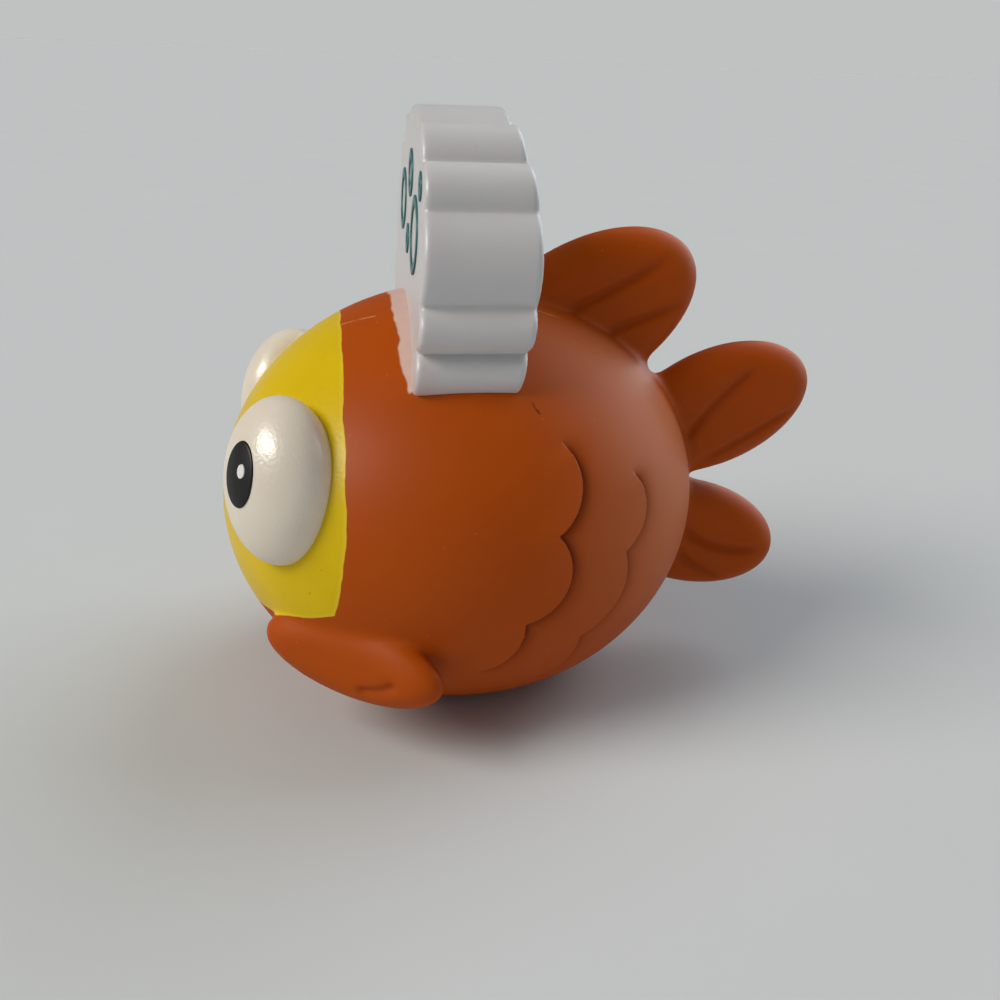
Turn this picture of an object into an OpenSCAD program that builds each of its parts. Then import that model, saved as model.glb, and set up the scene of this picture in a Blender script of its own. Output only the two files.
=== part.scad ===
// A soft vinyl goldfish that squeaks in the bath: a hollow body with fins, bulging eyes and a badge
// on its head, and a reed squeaker plugged into its belly.
// The face looks along -Y, the fish's left side is +X, and the belly rests on Z = 0.

/* [Body] */
// Length of the body, from the chin to the root of the tail
body_l = 59.5; // [54:0.5:66]
// Width of the body across the flanks
body_w = 51; // [46:1:58]
// Height of the body before its belly is cut flat
body_h = 53; // [48:1:60]
// Thickness of the vinyl wall
wall = 2.4; // [1.8:0.1:3]
// Depth of the flat that the belly rests on
belly_flat = 1.6; // [1.2:0.1:2.2]

/* [Flanks] */
// Radius of the round part of each flank that a squeeze pushes in
flank_r = 14; // [10:0.5:15]
// How far behind the middle of the body the flanks sit
flank_back = 3; // [0:0.5:6]
// Gap around each flank
flank_gap = 0.3; // [0.2:0.05:0.5]

/* [Paint] */
// Thickness of a coat of paint
paint = 0.15; // [0.1:0.01:0.2]
// Gap between the body and what is seated on it, which leaves room for the paint
seat_gap = 0.25; // [0.22:0.01:0.4]
// How far in front of the middle of the body the yellow face ends
mask_back = 15.1; // [13:0.1:18]
// How far below the middle of the body the yellow face ends at its back corners
mask_low = 4.8; // [3:0.2:7]
// Angle at which the lower edge of the yellow face drops toward the chin
mask_slope = 26; // [16:1:32]

/* [Eyes] */
// Width of an eye
eye_w = 12; // [10:0.2:15]
// Depth of an eye, front to back
eye_d = 13; // [10:0.2:15]
// Height of an eye
eye_h = 20; // [16:0.2:24]
// Angle from straight ahead out to the middle of an eye
eye_turn = 38.5; // [34:0.5:46]
// Angle from level up to the middle of an eye
eye_lift = 18; // [12:0.5:24]
// How far the middle of an eye stands off the body
eye_proud = -0.6; // [-2:0.1:1]
// Width of a pupil
pupil_w = 4.6; // [4:0.1:6]
// Height of a pupil
pupil_h = 7.2; // [5:0.1:9]
// Angle from straight ahead out to the middle of a pupil
pupil_turn = 41; // [35:1:50]
// How far the middle of a pupil sits above the middle of its eye
pupil_up = 1.9; // [0:0.1:3]
// Diameter of the white glint on a pupil
glint_d = 1.5; // [1:0.1:2.5]
// How far the glint sits above the middle of its pupil
glint_up = 0.7; // [0:0.1:1.5]
// How far the glint sits to the outer side of the middle of its pupil
glint_side = 0.6; // [0:0.1:1]

/* [Badge] */
// Width of the badge over its widest lobes
badge_w = 40; // [34:0.5:44]
// Height of the badge from its lowest corners to its top
badge_h = 28.6; // [24:0.2:32]
// How far the top of the badge stands above the top of the body
badge_rise = 19.8; // [15:0.2:24]
// Thickness of the badge at its middle
badge_t = 11.8; // [10:0.1:14]
// How far the front of the badge leans back, from its middle to its top
badge_lean = 0.5; // [0:0.1:1.5]
// How far the back of the badge slopes in, from its middle to its top
badge_taper = 1.3; // [0:0.1:2]
// How far the front of the badge's foot stands forward of its middle
badge_toe = 0.9; // [0.5:0.1:2]
// How far the back of the badge slopes in, from its middle to its foot
badge_heel = 2; // [1:0.1:3]
// How far the middle of the badge sits in front of the middle of the body
badge_front = 0.8; // [0:0.1:3]
// How far each lobe of the edge bulges
badge_bulge = 1.2; // [0.8:0.1:1.6]
// Width of the line that the printed bubbles are drawn with
print_line = 1.1; // [0.8:0.1:1.6]

/* [Dorsal and tail fins] */
// Thickness of the dorsal and tail fins
fin_t = 5.6; // [4:0.1:7]
// Thickness that the dorsal and tail fins would bulge to if they were not flat
fin_round = 8; // [7.5:0.1:10]
// Length of the dorsal fin's oval
dorsal_l = 31; // [27:0.2:35]
// Width of the dorsal fin's oval
dorsal_w = 18.4; // [16:0.2:21]
// Angle at which the dorsal fin's tip rises
dorsal_tilt = 30.5; // [24:0.5:37]
// Angle from level up to the middle of the dorsal fin
dorsal_lift = 60.3; // [56:0.1:64]
// How far the middle of the dorsal fin stands off the body
dorsal_out = -0.4; // [-2:0.1:1]
// Length of the upper tail fin's oval
upper_tail_l = 25.6; // [22:0.2:29]
// Width of the upper tail fin's oval
upper_tail_w = 15.4; // [13.6:0.2:15.8]
// Angle at which the upper tail fin's tip rises
upper_tail_tilt = 23; // [18:0.5:28]
// Angle from level up to the middle of the upper tail fin
upper_tail_lift = 19.7; // [19:0.1:22]
// How far the middle of the upper tail fin stands off the body
upper_tail_out = 5.5; // [4:0.1:7]
// Length of the lower tail fin's oval
lower_tail_l = 24.8; // [21:0.2:28]
// Width of the lower tail fin's oval
lower_tail_w = 14.6; // [13:0.2:15]
// Angle at which the lower tail fin's tip drops
lower_tail_tilt = 15.5; // [10:0.5:20]
// Angle from level down to the middle of the lower tail fin
lower_tail_drop = 13.7; // [13.5:0.1:16]
// How far the middle of the lower tail fin stands off the body
lower_tail_out = 3; // [1.5:0.1:4.5]

/* [Pectoral fins] */
// Thickness of the pectoral fins at their middle
pectoral_t = 4.4; // [3.6:0.1:5]
// Length of a pectoral fin's oval
pectoral_l = 23.6; // [20:0.2:27]
// Width of a pectoral fin's oval
pectoral_w = 10.4; // [9:0.2:12]
// Angle from straight ahead out to the way that a pectoral fin faces
pectoral_face = 56; // [50:1:62]
// Angle at which the tip of a pectoral fin drops
pectoral_tilt = 3; // [0:0.5:8]
// Angle from straight ahead out to the middle of a pectoral fin
pectoral_turn = 57; // [52:0.5:62]
// Angle from level down to the middle of a pectoral fin
pectoral_drop = 27.5; // [24:0.5:31]
// How far the middle of a pectoral fin stands off the body
pectoral_out = 0.3; // [0:0.1:1]

/* [Squeaker] */
// Radius of the squeaker's plug
plug_r = 5; // [4.4:0.1:5.6]
// Length of the plug above its flange
plug_l = 8; // [7.4:0.1:9]
// How far the flange spreads past the plug
flange_lip = 1.2; // [0.8:0.1:1.8]
// Thickness of the flange
flange_t = 1.2; // [1:0.1:1.6]
// How far the flange sits above what the toy rests on
flange_sunk = 0.3; // [0.2:0.05:0.6]
// Height of the vinyl collar that grips the plug
collar_h = 6; // [5:0.1:6.4]
// Width of the collar around the plug
collar_w = 3; // [2:0.1:4]
// How far the snap bead spreads past the plug
bead_lip = 0.5; // [0.3:0.05:0.7]
// Radius of the bore that holds the reed
bore_r = 2.5; // [2.2:0.1:3]
// Radius of the port that lets the air out
port_r = 1.6; // [1.2:0.1:1.9]
// Clearance between the squeaker's pieces, and around its plug and flange
fit = 0.1; // [0.06:0.01:0.15]

/* [Reed] */
// Width of the reed
reed_w = 2.2; // [1.6:0.1:2.6]
// Thickness of the reed
reed_t = 0.2; // [0.15:0.01:0.25]
// Height of the foot by which the reed is held
reed_foot = 1.4; // [1:0.1:1.6]
// Room on each side of the reed's foot
reed_room = 0.07; // [0.06:0.01:0.1]
// Angle that the reed can swing each way
reed_swing = 4; // [2:0.5:5]
// Width of the air channel behind the reed
channel_w = 1.4; // [1:0.1:1.6]
// Depth of the air channel behind the reed
channel_d = 1; // [0.7:0.1:1.2]

/* [Hidden] */

orange = "#d2691e";
yellow = "#e6bd17";
white = "#efeae6";
black = "#171717";
teal = "#2c6f73";
amber = "#d8cfa8";
brass = "#c9a34a";

// Facets around a smooth surface
round_fn = 96;
// A length that reaches past every surface, for cuts, and one that makes a cut break through
far = 2 * body_l;
over = 1;

body_mid = [0, 0, body_h / 2 - belly_flat];
body_semi = [body_w / 2, body_l / 2, body_h / 2];
body_top = body_mid.z + body_semi.z;
// The turns from Z that put a form's poles at its top and bottom, its front and back, and its sides
high_poles = [0, 0, 0];
end_poles = [90, 0, 0];
side_poles = [0, 90, 0];

// A point that stands off the body by out, turned from straight ahead to the left and lifted from level
function body_point(turn, lift, out) = body_mid + [
    (body_semi.x + out) * cos(lift) * sin(turn),
    -(body_semi.y + out) * cos(lift) * cos(turn),
    (body_semi.z + out) * sin(lift),
];

eye_semi = [eye_w, eye_d, eye_h] / 2;
eye_mid = body_point(eye_turn, eye_lift, eye_proud);
// The turn from Z to the way that an eye looks
look = [90, 0, pupil_turn];

badge_top = body_top + badge_rise;
badge_foot = badge_top - badge_h;
badge_mid_z = (badge_top + badge_foot) / 2;
// Notches between the lobes, as shares of the half width and of the height, from the top down
badge_notches = [[0.33, 0.95], [0.66, 0.84], [0.90, 0.70], [0.96, 0.37], [0.91, 0.20], [0.84, 0.02]];
// How far the lobes reach over the middle of the badge at each notch
notch_cover = 0.4;
// Printed bubbles, each with its place as shares of the half width and height, and its radius
bubbles = [
    [-0.42, 0.62, 3.6],
    [0.04, 0.76, 2.6],
    [0.4, 0.56, 4.2],
    [-0.02, 0.5, 1.7],
    [0.66, 0.76, 1.5],
];

flange_bottom = flange_sunk;
flange_top = flange_bottom + flange_t;
plug_top = flange_top + plug_l;
flange_r = plug_r + flange_lip;
collar_r = plug_r + collar_w;
bead_bottom = collar_h + fit;
bead_r = plug_r + bead_lip;
bead_h = 2 * bead_lip;
// Thickness of the ledge under the reed, and the spare angle beside its swing
ledge_t = 0.6;
swing_spare = 0.6;
bore_floor = flange_top + ledge_t;
insert_r = bore_r - fit;
insert_bottom = bore_floor;
reed_pivot_z = insert_bottom + reed_foot / 2;
reed_top = plug_top - fit;
foot_face = reed_t / 2 + reed_room;
foot_top = insert_bottom + reed_foot;
swing_room = reed_swing + swing_spare;
channel_top = plug_top - over;

// The body's rounded form, larger all round by grow, with its poles turned from Z
module body_form(grow = 0, poles = end_poles) {
    translate(body_mid)
        scale(body_semi + [grow, grow, grow])
            rotate(poles)
                sphere(r = 1, $fn = round_fn);
}

// Everything above a level
module above(level) {
    translate([-far / 2, -far / 2, level])
        cube([far, far, far]);
}

// The round cut of one flank, along X
module flank_cut(r) {
    translate([0, flank_back, body_mid.z])
        rotate([0, 90, 0])
            cylinder(r = r, h = far, $fn = round_fn);
}

module air_space() {
    intersection() {
        body_form(-wall);
        above(wall);
    }
}

module hollow_wall() {
    difference() {
        intersection() {
            body_form();
            above(0);
        }
        air_space();
    }
}

module both_sides() {
    children();
    mirror([1, 0, 0])
        children();
}

module body_shell() {
    color(orange)
        difference() {
            union() {
                difference() {
                    hollow_wall();
                    both_sides()
                        flank_cut(flank_r + flank_gap);
                }
                translate([0, 0, wall / 2])
                    cylinder(r = collar_r, h = collar_h - wall / 2, $fn = round_fn);
            }
            translate([0, 0, -over])
                cylinder(r = plug_r + fit, h = collar_h + 2 * over, $fn = round_fn);
            translate([0, 0, -over])
                cylinder(r = flange_r + fit, h = flange_top + over, $fn = round_fn);
        }
}

module left_flank() {
    color(orange)
        intersection() {
            hollow_wall();
            flank_cut(flank_r);
        }
}

module right_flank() {
    mirror([1, 0, 0])
        left_flank();
}

module face_paint() {
    color(yellow)
        intersection() {
            difference() {
                body_form(paint);
                body_form();
            }
            translate([-far / 2, -far - mask_back, 0])
                cube([far, far, far]);
            translate([0, -mask_back, body_mid.z - mask_low])
                rotate([mask_slope, 0, 0])
                    above(0);
        }
}

// One eye's rounded form, larger all round by grow, with its poles turned from Z
module eye_form(grow = 0, poles = high_poles) {
    translate(eye_mid)
        scale(eye_semi + [grow, grow, grow])
            rotate(poles)
                sphere(r = 1, $fn = round_fn);
}

// A bar through the front of an eye, along the way that it looks
module look_bar(w, h, up = 0, side = 0) {
    translate(eye_mid + [0, 0, pupil_up + up])
        rotate(look)
            translate([side, 0, 0])
                scale([w / 2, h / 2, 1])
                    cylinder(r = 1, h = far, $fn = round_fn);
}

module left_eye() {
    color(white)
        difference() {
            eye_form();
            body_form(seat_gap);
        }
}

module right_eye() {
    mirror([1, 0, 0])
        left_eye();
}

module left_pupil() {
    color(black)
        difference() {
            intersection() {
                eye_form(paint, look);
                look_bar(pupil_w, pupil_h);
            }
            eye_form(0, look);
        }
}

module right_pupil() {
    mirror([1, 0, 0])
        left_pupil();
}

module left_glint() {
    color(white)
        difference() {
            intersection() {
                eye_form(2 * paint, look);
                look_bar(glint_d, glint_d, glint_up, glint_side);
            }
            eye_form(paint, look);
        }
}

module right_glint() {
    mirror([1, 0, 0])
        left_glint();
}

// The badge's notches on one side, brought in by inset
function notches(inset, side) = [
    for (n = badge_notches) [
        side * n.x * (badge_w / 2 - inset),
        badge_foot + inset + n.y * (badge_h - 2 * inset),
    ]
];

// A round lobe, as a bar, that passes through two notches and bulges past the line between them
module lobe(a, b) {
    chord = norm(b - a);
    r = (chord * chord / 4 + badge_bulge * badge_bulge) / (2 * badge_bulge);
    outward = [a.y - b.y, b.x - a.x] / chord;
    middle = (a + b) / 2 - outward * (r - badge_bulge);
    translate([middle.x, middle.y, 0])
        cylinder(r = r, h = far, center = true, $fn = round_fn);
}

// The badge's scalloped outline, as a bar along Y
module badge_bar(inset = 0) {
    right = notches(inset, 1);
    left = notches(inset, -1);
    count = len(right);
    core = notches(inset + notch_cover, -1);
    rotate([90, 0, 0]) {
        linear_extrude(far, center = true)
            polygon(concat(notches(inset + notch_cover, 1), [for (i = [count - 1:-1:0]) core[i]]));
        lobe(left[0], right[0]);
        for (i = [1:count - 1]) {
            lobe(right[i - 1], right[i]);
            lobe(left[i], left[i - 1]);
        }
    }
}

// The badge's side view, which leans back at the front and slopes in at the back
module badge_side(inset = 0) {
    front = -badge_front - badge_t / 2 + inset;
    back = -badge_front + badge_t / 2 - inset;
    rotate([90, 0, 90])
        linear_extrude(far, center = true)
            polygon([
                [front - badge_toe, badge_foot + inset - badge_bulge],
                [back - badge_heel, badge_foot + inset - badge_bulge],
                [back, badge_mid_z],
                [back - badge_taper, badge_top - inset],
                [front + badge_lean, badge_top - inset],
            ]);
}

module badge_form(inset = 0) {
    intersection() {
        badge_bar(inset);
        badge_side(inset);
    }
}

module badge() {
    color(white)
        difference() {
            badge_form();
            body_form(seat_gap);
            difference() {
                badge_form(wall);
                body_form(seat_gap + wall);
            }
        }
}

module badge_print() {
    color(teal)
        difference() {
            intersection() {
                translate([0, -paint, 0])
                    badge_side();
                for (b = bubbles)
                    translate([b.x * badge_w / 2, -badge_front, badge_foot + b.y * badge_h])
                        rotate([90, 0, 0])
                            difference() {
                                cylinder(r = b.z, h = far, $fn = round_fn);
                                translate([0, 0, -over])
                                    cylinder(r = b.z - print_line, h = far + 2 * over, $fn = round_fn);
                            }
            }
            badge_side();
        }
}

// A flat oval fin on the body's middle plane, behind its middle, with its oval's poles turned from Z
module flat_fin(lift, out, long, wide, tilt, poles = end_poles) {
    color(orange)
        difference() {
            intersection() {
                translate(body_point(180, lift, out))
                    rotate([tilt, 0, 0])
                        scale([fin_round, long, wide] / 2)
                            rotate(poles)
                                sphere(r = 1, $fn = round_fn);
                translate([-fin_t / 2, -far / 2, 0])
                    cube([fin_t, far, far]);
            }
            body_form(seat_gap, side_poles);
        }
}

module dorsal_fin() {
    flat_fin(dorsal_lift, dorsal_out, dorsal_l, dorsal_w, dorsal_tilt, high_poles);
}

module upper_tail_fin() {
    flat_fin(upper_tail_lift, upper_tail_out, upper_tail_l, upper_tail_w, upper_tail_tilt);
}

module lower_tail_fin() {
    flat_fin(-lower_tail_drop, lower_tail_out, lower_tail_l, lower_tail_w, -lower_tail_tilt);
}

module left_pectoral_fin() {
    color(orange)
        difference() {
            translate(body_point(pectoral_turn, -pectoral_drop, pectoral_out))
                rotate([90, 0, pectoral_face])
                    rotate([0, 0, -pectoral_tilt])
                        scale([pectoral_l, pectoral_w, pectoral_t] / 2)
                            sphere(r = 1, $fn = round_fn);
            body_form(seat_gap);
        }
}

module right_pectoral_fin() {
    mirror([1, 0, 0])
        left_pectoral_fin();
}

module squeaker_housing() {
    color(amber)
        rotate_extrude($fn = round_fn)
            polygon([
                [port_r, flange_bottom],
                [flange_r, flange_bottom],
                [flange_r, flange_top],
                [plug_r, flange_top],
                [plug_r, bead_bottom],
                [bead_r, bead_bottom],
                [bead_r, bead_bottom + bead_h / 2],
                [plug_r, bead_bottom + bead_h],
                [plug_r, plug_top],
                [bore_r, plug_top],
                [bore_r, bore_floor],
                [port_r, bore_floor],
            ]);
}

// Half of the round insert that fills the bore, on the side of X that side gives
module half_insert(side, bottom, top) {
    intersection() {
        translate([0, 0, bottom])
            cylinder(r = insert_r, h = top - bottom, $fn = round_fn);
        translate([side > 0 ? foot_face : -far - foot_face, -far / 2, bottom - over])
            cube([far, far, top - bottom + 2 * over]);
    }
}

module reed_block() {
    color(amber)
        difference() {
            half_insert(-1, insert_bottom, plug_top);
            translate([-foot_face, -far / 2, foot_top])
                rotate([0, -swing_room, 0])
                    cube([far, far, far]);
            translate([-foot_face - channel_d, -channel_w / 2, insert_bottom - over])
                cube([far, channel_w, channel_top - insert_bottom + over]);
        }
}

module reed() {
    color(brass)
        translate([-reed_t / 2, -reed_w / 2, insert_bottom + fit])
            cube([reed_t, reed_w, reed_top - insert_bottom - fit]);
}

module reed_clip() {
    color(amber)
        half_insert(1, insert_bottom, foot_top);
}

body_shell();
left_flank();
right_flank();
face_paint();
left_eye();
right_eye();
left_pupil();
right_pupil();
left_glint();
right_glint();
badge();
badge_print();
dorsal_fin();
upper_tail_fin();
lower_tail_fin();
left_pectoral_fin();
right_pectoral_fin();
squeaker_housing();
reed_block();
reed();
reed_clip();
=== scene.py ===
# %% [markdown]
# A squeaky goldfish for the bath, about 75 mm long. It is one soft vinyl casting with fat fins, painted
# yellow over the face, with bulging white eyes, a thick scalloped badge on its head and a reed squeaker
# in its belly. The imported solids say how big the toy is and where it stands, so they are loaded first and
# nothing moves them. Lengths in the scene are metres. Inside the formulas they are millimetres, from the
# middle of the body.

import math

import bmesh
import bpy
import numpy as np
from mathutils import Matrix, Vector


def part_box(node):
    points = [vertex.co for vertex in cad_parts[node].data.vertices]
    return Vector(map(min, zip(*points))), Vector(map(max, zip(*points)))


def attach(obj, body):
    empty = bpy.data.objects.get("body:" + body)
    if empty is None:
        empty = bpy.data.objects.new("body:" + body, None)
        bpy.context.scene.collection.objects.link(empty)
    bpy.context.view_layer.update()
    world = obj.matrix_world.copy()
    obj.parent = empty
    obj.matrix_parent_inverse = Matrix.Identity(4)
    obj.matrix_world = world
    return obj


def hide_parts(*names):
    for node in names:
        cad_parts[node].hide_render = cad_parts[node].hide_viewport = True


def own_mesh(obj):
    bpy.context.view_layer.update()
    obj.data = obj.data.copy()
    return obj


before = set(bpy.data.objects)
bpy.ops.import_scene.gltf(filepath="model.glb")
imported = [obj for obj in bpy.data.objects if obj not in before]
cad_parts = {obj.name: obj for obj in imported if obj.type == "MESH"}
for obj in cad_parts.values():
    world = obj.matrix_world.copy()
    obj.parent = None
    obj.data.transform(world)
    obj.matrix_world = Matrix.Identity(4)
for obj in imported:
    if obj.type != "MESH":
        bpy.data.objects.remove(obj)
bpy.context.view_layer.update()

# %% [markdown]
# The body is an egg cut flat underneath. Its half sizes are read from the boxes of the solids, so the
# skin always fits the frame: the flank gives the width and the height of the middle, and the shell gives
# the length and the top.

# %% Measure the body
MM = 0.001
flank_low, flank_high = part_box("left_flank")
shell_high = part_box("body_shell")[1]
UP = Vector((0, 0, 1))
BODY_MID = Vector((0, 0, (flank_low.z + flank_high.z) / 2)) / MM
BODY_SEMI = Vector((flank_high.x, shell_high.y, shell_high.z)) / MM - BODY_MID
print("body middle", [round(v, 2) for v in BODY_MID], "half sizes", [round(v, 2) for v in BODY_SEMI], "mm")

# %% [markdown]
# Shapes and finishes are both written as formulas below. A formula could be wired by hand in the node
# editor, but it is easier to read as an expression. So this small class wraps one socket of a node tree,
# and each sum, product or comparison adds the Math node that works it out. Every other kind of node comes
# from one method, `add`, which sets the node's settings first and then its sockets.

# %% Write node trees as expressions
class Wire:
    """One output socket of a node tree, usable in sums and products."""

    def __init__(self, tree, socket):
        self.tree = tree
        self.socket = socket

    @classmethod
    def add(cls, tree, kind, settings=None, sockets=None, out=0):
        """A wire from one new node, given its type, its settings, and the values or wires of its sockets."""
        made = tree.nodes.new(kind)
        for name, value in (settings or {}).items():
            setattr(made, name, value)
        for key, value in (sockets or {}).items():
            if isinstance(value, Wire):
                tree.links.new(value.socket, made.inputs[key])
            else:
                made.inputs[key].default_value = value
        return cls(tree, made.outputs[out])

    def math(self, operation, *others):
        sockets = dict(enumerate((self, *others)))
        return Wire.add(self.tree, "ShaderNodeMath", {"operation": operation}, sockets)

    def vector(self, operation, *others, out=0):
        sockets = dict(enumerate((self, *others)))
        return Wire.add(self.tree, "ShaderNodeVectorMath", {"operation": operation}, sockets, out)

    def parts(self):
        """The three numbers of a vector."""
        first = Wire.add(self.tree, "ShaderNodeSeparateXYZ", None, {0: self})
        return [Wire(self.tree, socket) for socket in first.socket.node.outputs]

    def __add__(self, other):
        return self.math("ADD", other)

    def __sub__(self, other):
        return self.math("SUBTRACT", other)

    def __rsub__(self, other):
        return Wire.add(self.tree, "ShaderNodeMath", {"operation": "SUBTRACT"}, {0: other, 1: self})

    def __mul__(self, other):
        return self.math("MULTIPLY", other)

    def __truediv__(self, other):
        return self.math("DIVIDE", other)

    def __neg__(self):
        return self * -1

    def __abs__(self):
        return self.math("ABSOLUTE")

    def __lt__(self, other):
        return self.math("LESS_THAN", other)

    def __gt__(self, other):
        return self.math("GREATER_THAN", other)

    __radd__ = __add__
    __rmul__ = __mul__


def length(*parts):
    """The length of a vector given as its parts."""
    return sum(part * part for part in parts).math("SQRT")


def step(value, start, end):
    """0 before start and 1 after end, with a smooth rise between them."""
    sockets = {0: value, 1: start, 2: end}
    return Wire.add(value.tree, "ShaderNodeMapRange", {"interpolation_type": "SMOOTHSTEP"}, sockets)


print("formulas can add nodes")

# %% [markdown]
# A Geometry Nodes tree is a recipe with named inputs. This helper runs a recipe on a mesh and keeps the
# result as a plain mesh at the origin, with no modifier left on it.

# %% Run a recipe and keep its mesh
def new_recipe(name, inputs):
    """An empty recipe with named inputs, and a wire from each of them."""
    tree = bpy.data.node_groups.new(name, "GeometryNodeTree")
    tree.interface.new_socket("Geometry", in_out="INPUT", socket_type="NodeSocketGeometry")
    for label, kind in inputs.items():
        tree.interface.new_socket(label, in_out="INPUT", socket_type=kind)
    tree.interface.new_socket("Geometry", in_out="OUTPUT", socket_type="NodeSocketGeometry")
    source = tree.nodes.new("NodeGroupInput")
    return tree, {socket.name: Wire(tree, socket) for socket in source.outputs if socket.name}


def end_recipe(shape, material):
    """Gives the shape its material and sends it out of the recipe."""
    real = Wire.add(shape.tree, "GeometryNodeRealizeInstances", None, {0: shape})
    done = Wire.add(shape.tree, "GeometryNodeSetMaterial", None, {"Geometry": real, "Material": material})
    sink = shape.tree.nodes.new("NodeGroupOutput")
    shape.tree.links.new(done.socket, sink.inputs[0])


def run_recipe(tree, piece, values):
    """Runs a recipe on a piece's mesh, and swaps the mesh for the result."""
    modifier = piece.modifiers.new(tree.name, "NODES")
    modifier.node_group = tree
    for item in tree.interface.items_tree:
        if item.in_out == "INPUT" and item.name in values:
            modifier[item.identifier] = values[item.name]
    graph = bpy.context.evaluated_depsgraph_get()
    made = bpy.data.meshes.new_from_object(
        piece.evaluated_get(graph), preserve_all_data_layers=True, depsgraph=graph
    )
    piece.modifiers.remove(modifier)
    piece.data = made
    made.shade_smooth()


def new_piece(name, points=(), faces=()):
    """A piece at the origin with its points given in millimetres."""
    mesh = bpy.data.meshes.new(name)
    mesh.from_pydata([[v * MM for v in point] for point in points], [], [list(face) for face in faces])
    piece = bpy.data.objects.new(name, mesh)
    bpy.context.scene.collection.objects.link(piece)
    return piece


print("recipes can run")

# %% [markdown]
# The skin is orange vinyl with paint on it. The paint could be a separate film of faces, but a film that
# thin flickers against the vinyl, so the coats are drawn in the material by place: where a point lies on
# the toy decides which coat it shows. The helpers here read that place in millimetres and mix colours.

# %% Helpers for finishes
def srgb(red, green, blue):
    """A colour as a screen writes it, 0 to 255, in the linear form that a shader takes."""
    values = [v / 255 for v in (red, green, blue)]
    return tuple(v / 12.92 if v <= 0.04045 else ((v + 0.055) / 1.055) ** 2.4 for v in values) + (1,)


def new_finish(name, **sockets):
    """A material, its tree, and its shader with constant sockets set."""
    finish = bpy.data.materials.new(name)
    finish.use_nodes = True
    shader = finish.node_tree.nodes["Principled BSDF"]
    for label, value in sockets.items():
        shader.inputs[label.replace("_", " ").title().replace("Ior", "IOR")].default_value = value
    return finish, finish.node_tree, shader


def place(tree):
    """The place on the piece, in millimetres."""
    return scaled(Wire.add(tree, "ShaderNodeTexCoord", None, None, 3), 1 / MM)


def scaled(vector, factor):
    """A vector made longer by a factor."""
    return Wire.add(
        vector.tree, "ShaderNodeVectorMath", {"operation": "SCALE"}, {"Vector": vector, "Scale": factor}
    )


def noise(spot, size, detail):
    """Noise from 0 to 1 with blotches of about this size in millimetres."""
    sockets = {"Vector": spot, "Scale": 1 / size, "Detail": detail}
    return Wire.add(spot.tree, "ShaderNodeTexNoise", None, sockets)


def mix(factor, first, second):
    """The first colour where the factor is 0, and the second where it is 1."""
    settings = {"data_type": "RGBA", "clamp_factor": True}
    return Wire.add(factor.tree, "ShaderNodeMix", settings, {0: factor, 6: first, 7: second}, 2)


def blend(factor, first, second):
    """The first number where the factor is 0, and the second where it is 1."""
    return first + (second - first) * factor


def specks(spot, size, share):
    """1 on sparse round specks, where each cell of this size holds one in the given share of cells."""
    sockets = {"Vector": spot, "Scale": 1 / size, "Randomness": 1.0}
    near = Wire.add(spot.tree, "ShaderNodeTexVoronoi", None, sockets)
    pick = Wire.add(spot.tree, "ShaderNodeTexVoronoi", None, sockets, 1)
    chosen = pick.parts()[0] < share
    return step(near, 0.16, 0.08) * chosen


def finish_with(shader, colour, roughness, height, strength, distance):
    """Feeds the shader what changes over the surface, with the height as bump."""
    tree = colour.tree
    sockets = {"Strength": strength, "Distance": distance, "Height": height}
    bump = Wire.add(tree, "ShaderNodeBump", None, sockets)
    for label, wire in {"Base Color": colour, "Roughness": roughness, "Normal": bump}.items():
        tree.links.new(wire.socket, shader.inputs[label])


print("finishes can be written")

# %% [markdown]
# The vinyl is a strong orange that goes a little darker in blotches, with painted shade in the grooves and
# a painted pale sheen over the rear. The yellow coat ends behind the eyes on a sharp edge that wavers as a
# masked spray does,
# and it is glossier and grainier than the vinyl. A pinkish overspray lies on the vinyl in front of the
# badge. Dust, two scratches, a fleck of yellow and a scuff finish it. A squeeze moves the skin's points,
# so the finish reads the place that each point had when it was cast, or the coats would slide.

# %% Finish of the skin
MASK_REAR, MASK_LOW = -14.8, -5.2
MASK_SLOPE = math.tan(math.radians(26))
MASK_BEND, MASK_BEND_TOP = 0.0068, 9
MASK_BLUR = 0.07
SPRAY_FRONT, SPRAY_LOW = -9.0, 12
SPRAY_BEND, SPRAY_BLUR = 1.1, 0.15
SPRAY_REACH = 16.6
# Where the painted pale sheen lies over the upper rear, in place of a window's reflection: ranges in x, y and
# z.
PAINTED_SHEEN_X, PAINTED_SHEEN_Y, PAINTED_SHEEN_Z = (3.5, 7), (4, 25), (-16, 4)
SCRATCHES = [((3.4, -14.9, 22.7), (5.0, -10.9, 24.1)), ((5.6, 7.5, 25.0), (5.7, 10.5, 24.1))]
FLECK = ((18.5, 16.6, 10.3), (18.75, 16.6, 9.2))
SCUFF = ((18.3, 5.2, 17.8), (18.9, 5.9, 17.0))


def cast_place(tree):
    """The place that a point of the skin had when it was cast, in millimetres."""
    kept = Wire.add(tree, "ShaderNodeAttribute", {"attribute_name": "cast_place"}, None, 1)
    return scaled(kept, 1 / MM)


def scratch(parts, ends, clear, full, ragged=0.0):
    """0 as far as clear from a straight scratch and 1 within full of it, in millimetres."""
    run = Vector(ends[1]) - Vector(ends[0])
    offset = [p - s for p, s in zip(parts, ends[0])]
    along = sum(o * (r / run.length_squared) for o, r in zip(offset, run))
    along = along.math("MAXIMUM", 0.0).math("MINIMUM", 1.0)
    away = length(*(o - along * r for o, r in zip(offset, run)))
    return step(away + ragged, clear, full)


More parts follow.
